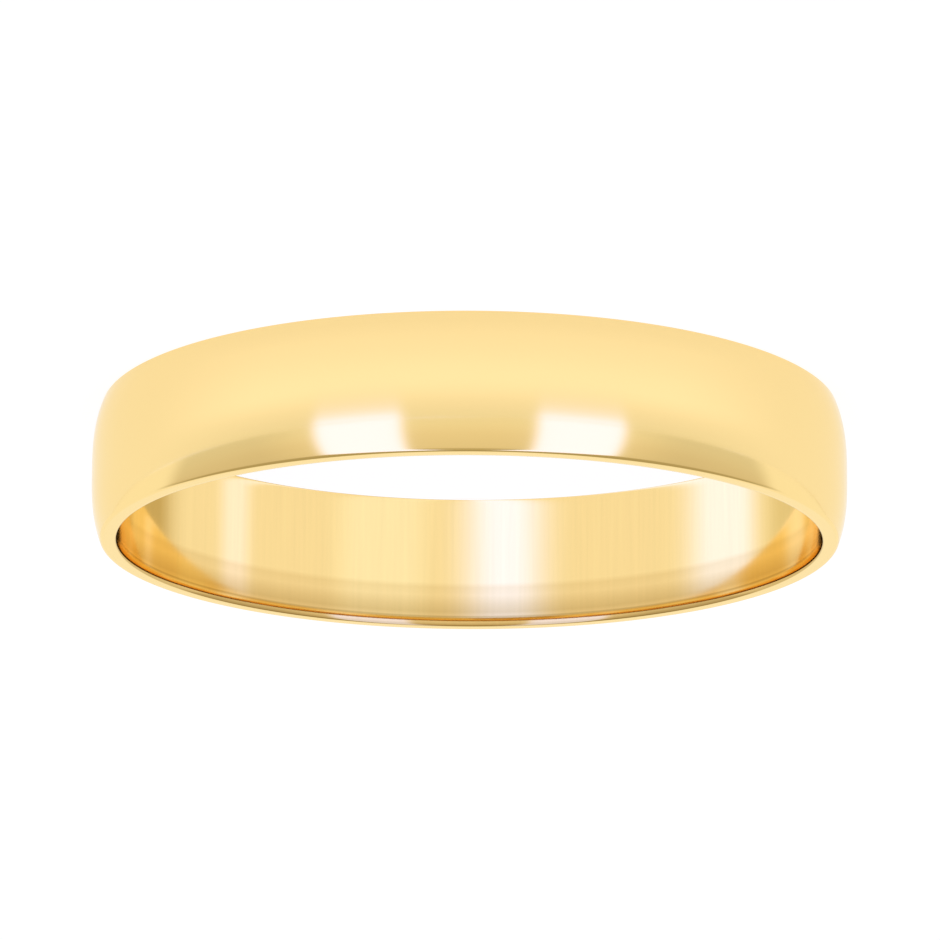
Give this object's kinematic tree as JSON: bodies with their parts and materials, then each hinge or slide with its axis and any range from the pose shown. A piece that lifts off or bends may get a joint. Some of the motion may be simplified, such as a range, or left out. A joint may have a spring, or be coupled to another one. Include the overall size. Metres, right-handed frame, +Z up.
{
  "type": "wedding band",
  "caption": "Plain polished gold wedding band with a low domed outside, softly rounded edges and an eased round bore.",
  "frame": {"origin": "centre of the bottom side face, on the bore's axis", "axes": "+Z up along the bore, the finger's axis, with the band lying flat on one side face; +X and +Y across the band"},
  "size_m": [0.0214, 0.0214, 0.0039],
  "materials": {
    "gold": "polished yellow gold"
  },
  "bodies": {
    "root": {"band": "gold"}
  },
  "joints": []
}
